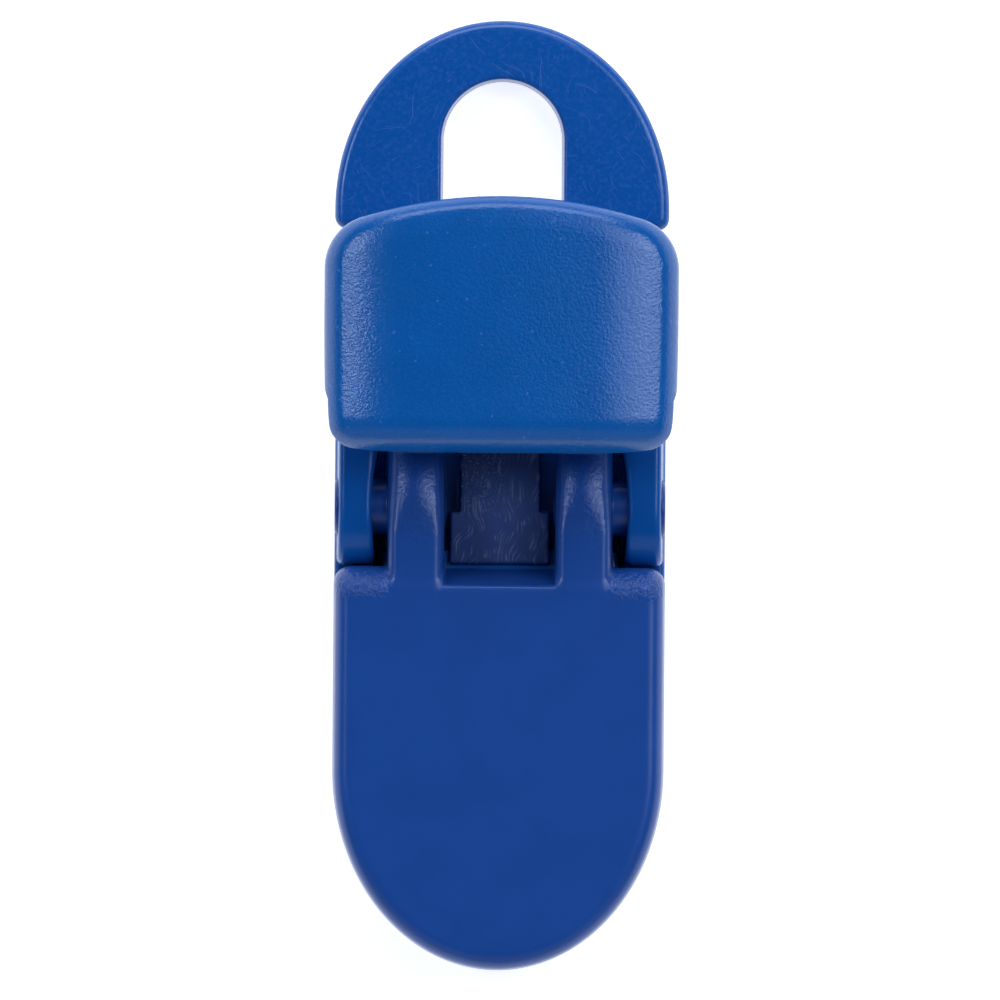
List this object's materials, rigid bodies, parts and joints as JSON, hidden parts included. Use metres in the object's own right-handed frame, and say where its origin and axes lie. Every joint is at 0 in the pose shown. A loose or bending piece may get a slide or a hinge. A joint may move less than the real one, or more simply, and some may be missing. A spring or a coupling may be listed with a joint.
{
  "type": "flip-lever clothes clip",
  "caption": "Flat plastic clothes clip: a front jaw with grip teeth closes on the back body under a fold-down thumb lever, and a D-shaped loop hangs it up.",
  "frame": {"origin": "middle of the clip's box, on the plane of its flat back", "axes": "+Y points to the hanging loop, +Z comes out of the front face, +X to the right seen from the front"},
  "size_m": [0.0186, 0.05, 0.0108],
  "materials": {
    "body_plastic": "blue moulded polypropylene, satin, with fine scratches",
    "jaw_plastic": "blue moulded polypropylene, smooth satin",
    "lever_plastic": "blue moulded polypropylene, glossy with a fine pebble"
  },
  "bodies": {
    "body": {"base_body": "body_plastic"},
    "jaw": {"front_jaw": "jaw_plastic"},
    "thumb_lever": {"lever": "lever_plastic"}
  },
  "joints": [
    {"name": "jaw_hinge", "type": "hinge", "parent": "body", "child": "jaw", "pos_m": [0, -0.00066, 0.0028], "axis": [-1, 0, 0], "range_deg": [0, 15]},
    {"name": "lever_hinge", "type": "hinge", "parent": "jaw", "child": "thumb_lever", "pos_m": [0, 0.0039, 0.0075], "axis": [1, 0, 0], "range_deg": [0, 90]}
  ],
  "couplings": [
    {"joint": "lever_hinge", "follows": "jaw_hinge", "ratio": 5.9999}
  ]
}
